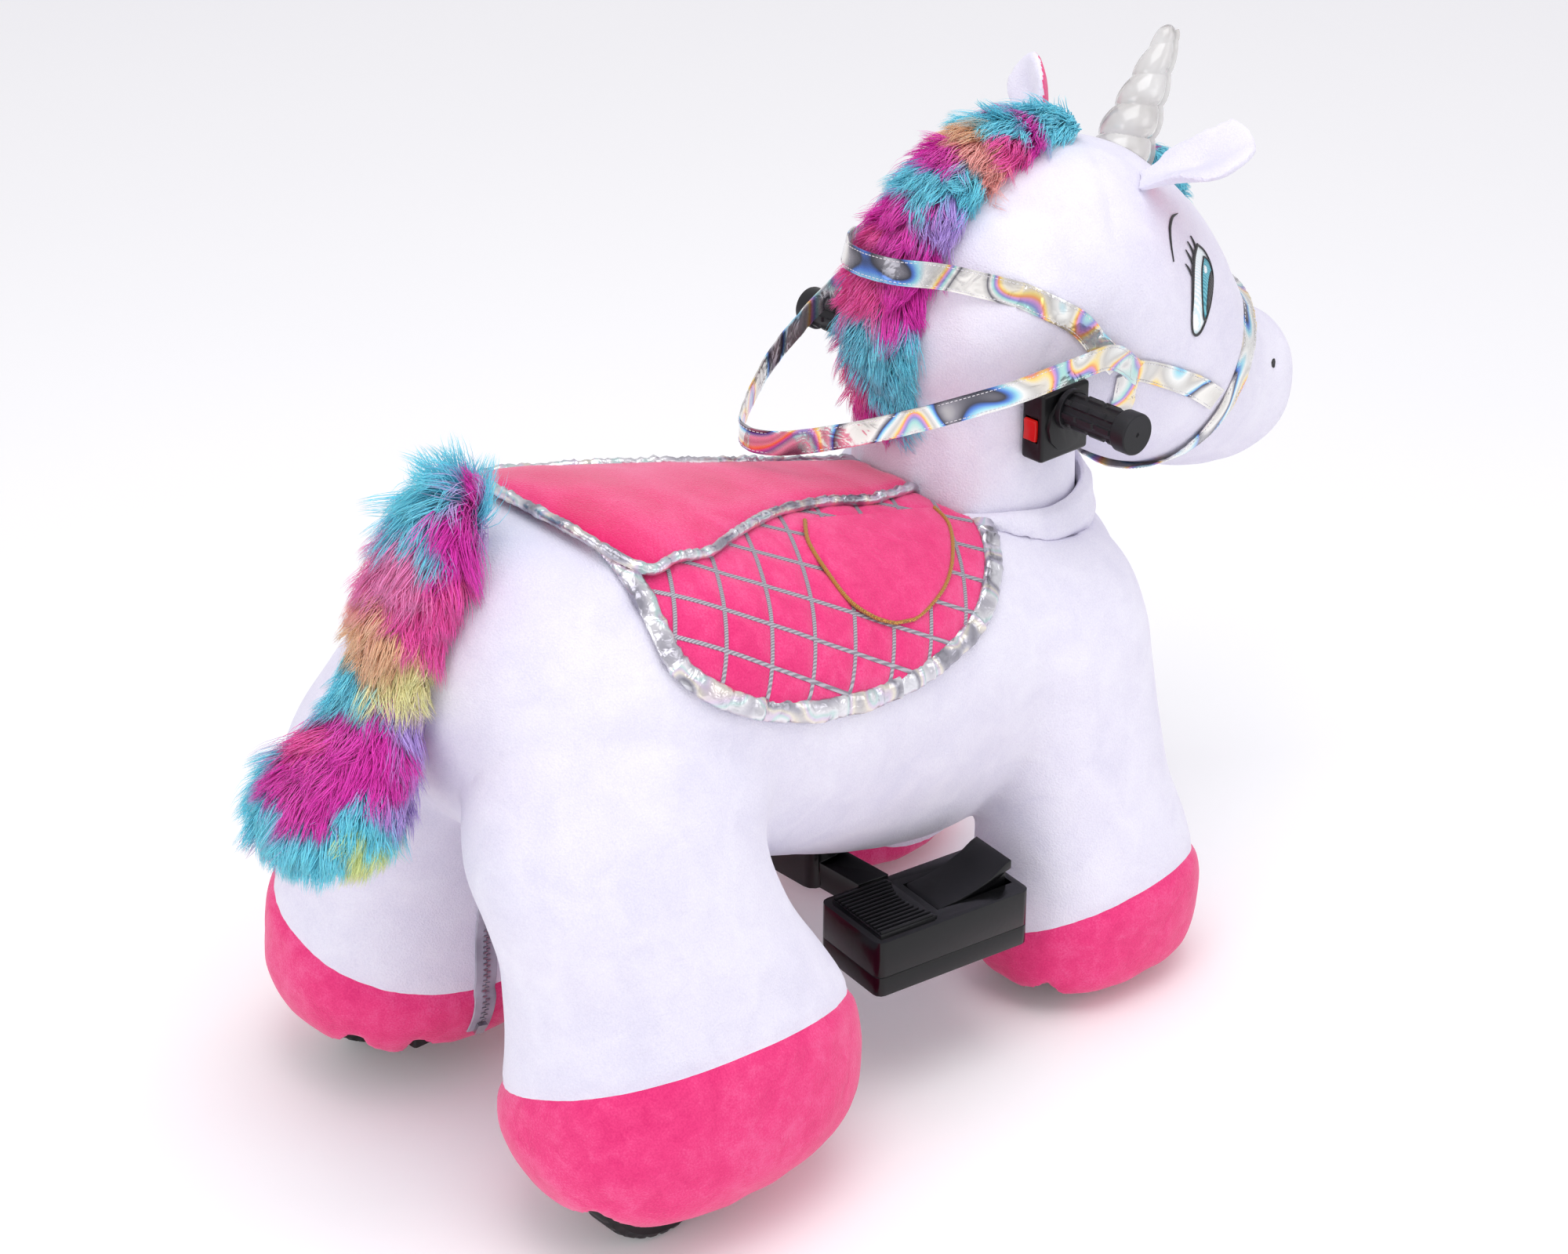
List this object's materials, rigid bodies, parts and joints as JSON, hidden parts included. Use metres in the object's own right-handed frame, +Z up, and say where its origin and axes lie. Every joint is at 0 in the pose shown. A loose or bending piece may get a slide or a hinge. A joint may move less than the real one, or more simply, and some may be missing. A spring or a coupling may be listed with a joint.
{
  "type": "plush ride-on animal",
  "caption": "Powered plush ride-on animal with a horn, quilted saddle, strap bridle and reins, handlebar with grips, foot pedal and steered front wheels hidden in the hooves.",
  "frame": {"origin": "on the floor under the middle of the toy's outer box", "axes": "+Z up, the animal faces -Y, its right side is -X"},
  "size_m": [0.506, 1.0369, 0.7251],
  "materials": {
    "white_plush": "short white pile with a slight lilac cast",
    "pink_plush": "short hot pink pile",
    "rainbow_fur": "long fur in magenta, blue and peach patches",
    "silver_strap": "iridescent silver foil strap",
    "horn_plastic": "pearly translucent plastic",
    "black_steel": "black painted steel",
    "black_plastic": "black moulded plastic",
    "black_rubber": "matt black rubber",
    "red_plastic": "glossy red plastic",
    "motor_steel": "drawn steel can",
    "battery_grey": "matt grey case"
  },
  "bodies": {
    "chassis": {"torso_plush": "white_plush", "belly_panel": "white_plush", "leg_rear_left": "white_plush", "leg_rear_right": "white_plush", "leg_front_left": "white_plush", "leg_front_right": "white_plush", "hoof_rear_left": "pink_plush", "hoof_rear_right": "pink_plush", "hoof_front_left": "pink_plush", "hoof_front_right": "pink_plush", "neck_collar": "white_plush", "tail": "rainbow_fur", "saddle_pad": "pink_plush", "saddle_seat": "pink_plush", "stirrup_flap_left": "pink_plush", "stirrup_flap_right": "pink_plush", "frame_spine": "black_steel", "head_tube": "black_steel", "front_axle_beam": "black_steel", "rear_cross_tube": "black_steel", "rear_post_left": "black_steel", "rear_post_right": "black_steel", "rear_axle_right": "black_steel", "pedal_box_lower": "black_plastic", "pedal_box_upper": "black_plastic", "foot_rest_left": "black_plastic", "foot_rest_bar": "black_plastic", "gearbox": "black_plastic", "drive_motor": "motor_steel", "battery": "battery_grey", "battery_tray": "black_plastic", "control_box": "black_plastic"},
    "steering": {"head_plush": "white_plush", "neck_plush": "white_plush", "horn": "horn_plastic", "ear_right": "white_plush", "ear_left": "white_plush", "mane": "rainbow_fur", "forelock": "rainbow_fur", "noseband": "silver_strap", "neck_strap": "silver_strap", "cheek_strap_left": "silver_strap", "cheek_strap_right": "silver_strap", "reins": "silver_strap", "steering_column": "black_steel", "handlebar": "black_steel", "grip_left": "black_rubber", "grip_right": "black_rubber", "switch_housing_left": "black_plastic", "switch_housing_right": "black_plastic"},
    "switch": {"rocker_switch": "red_plastic"},
    "pedal": {"accelerator_pedal": "black_plastic"},
    "knuckle_left": {"steering_knuckle_left": "black_steel"},
    "knuckle_right": {"steering_knuckle_right": "black_steel"},
    "link": {"tie_rod": "black_steel"},
    "front_wheel_left": {"wheel_front_left": "black_plastic"},
    "front_wheel_right": {"wheel_front_right": "black_plastic"},
    "rear_wheel_left": {"wheel_rear_left": "black_plastic", "rear_axle_left": "black_steel"},
    "rear_wheel_right": {"wheel_rear_right": "black_plastic"}
  },
  "joints": [
    {"name": "steer", "type": "hinge", "parent": "chassis", "child": "steering", "pos_m": [0, -0.145, 0.3], "axis": [0, 0, 1], "range_deg": [-15, 15]},
    {"name": "kingpin_left", "type": "hinge", "parent": "chassis", "child": "knuckle_left", "pos_m": [0.112, -0.145, 0.2], "axis": [0, 0, 1], "range_deg": [-15, 15]},
    {"name": "kingpin_right", "type": "hinge", "parent": "chassis", "child": "knuckle_right", "pos_m": [-0.112, -0.145, 0.2], "axis": [0, 0, 1], "range_deg": [-15, 15]},
    {"name": "tie_rod_pin", "type": "hinge", "parent": "steering", "child": "link", "pos_m": [0, -0.1, 0.23], "axis": [0, 0, 1], "range_deg": [-15, 15]},
    {"name": "front_spin_left", "type": "hinge", "parent": "knuckle_left", "child": "front_wheel_left", "pos_m": [0.142, -0.145, 0.05], "axis": [1, 0, 0], "continuous": true},
    {"name": "front_spin_right", "type": "hinge", "parent": "knuckle_right", "child": "front_wheel_right", "pos_m": [-0.142, -0.145, 0.05], "axis": [1, 0, 0], "continuous": true},
    {"name": "rear_spin_left", "type": "hinge", "parent": "chassis", "child": "rear_wheel_left", "pos_m": [0.17, 0.326, 0.065], "axis": [1, 0, 0], "continuous": true},
    {"name": "rear_spin_right", "type": "hinge", "parent": "chassis", "child": "rear_wheel_right", "pos_m": [-0.17, 0.326, 0.065], "axis": [1, 0, 0], "continuous": true},
    {"name": "pedal_press", "type": "hinge", "parent": "chassis", "child": "pedal", "pos_m": [-0.146, 0.033, 0.1441], "axis": [0.9903, -0.1392, 0], "range_deg": [0, 8], "stiffness_Nm_per_rad": 0.5, "springref_deg": -11.46},
    {"name": "switch_tilt", "type": "hinge", "parent": "steering", "child": "switch", "pos_m": [-0.097, -0.123, 0.478], "axis": [1, 0, 0], "range_deg": [-3, 3]}
  ],
  "couplings": [
    {"joint": "kingpin_left", "follows": "steer", "ratio": 1},
    {"joint": "kingpin_right", "follows": "steer", "ratio": 1},
    {"joint": "tie_rod_pin", "follows": "steer", "ratio": -1}
  ]
}
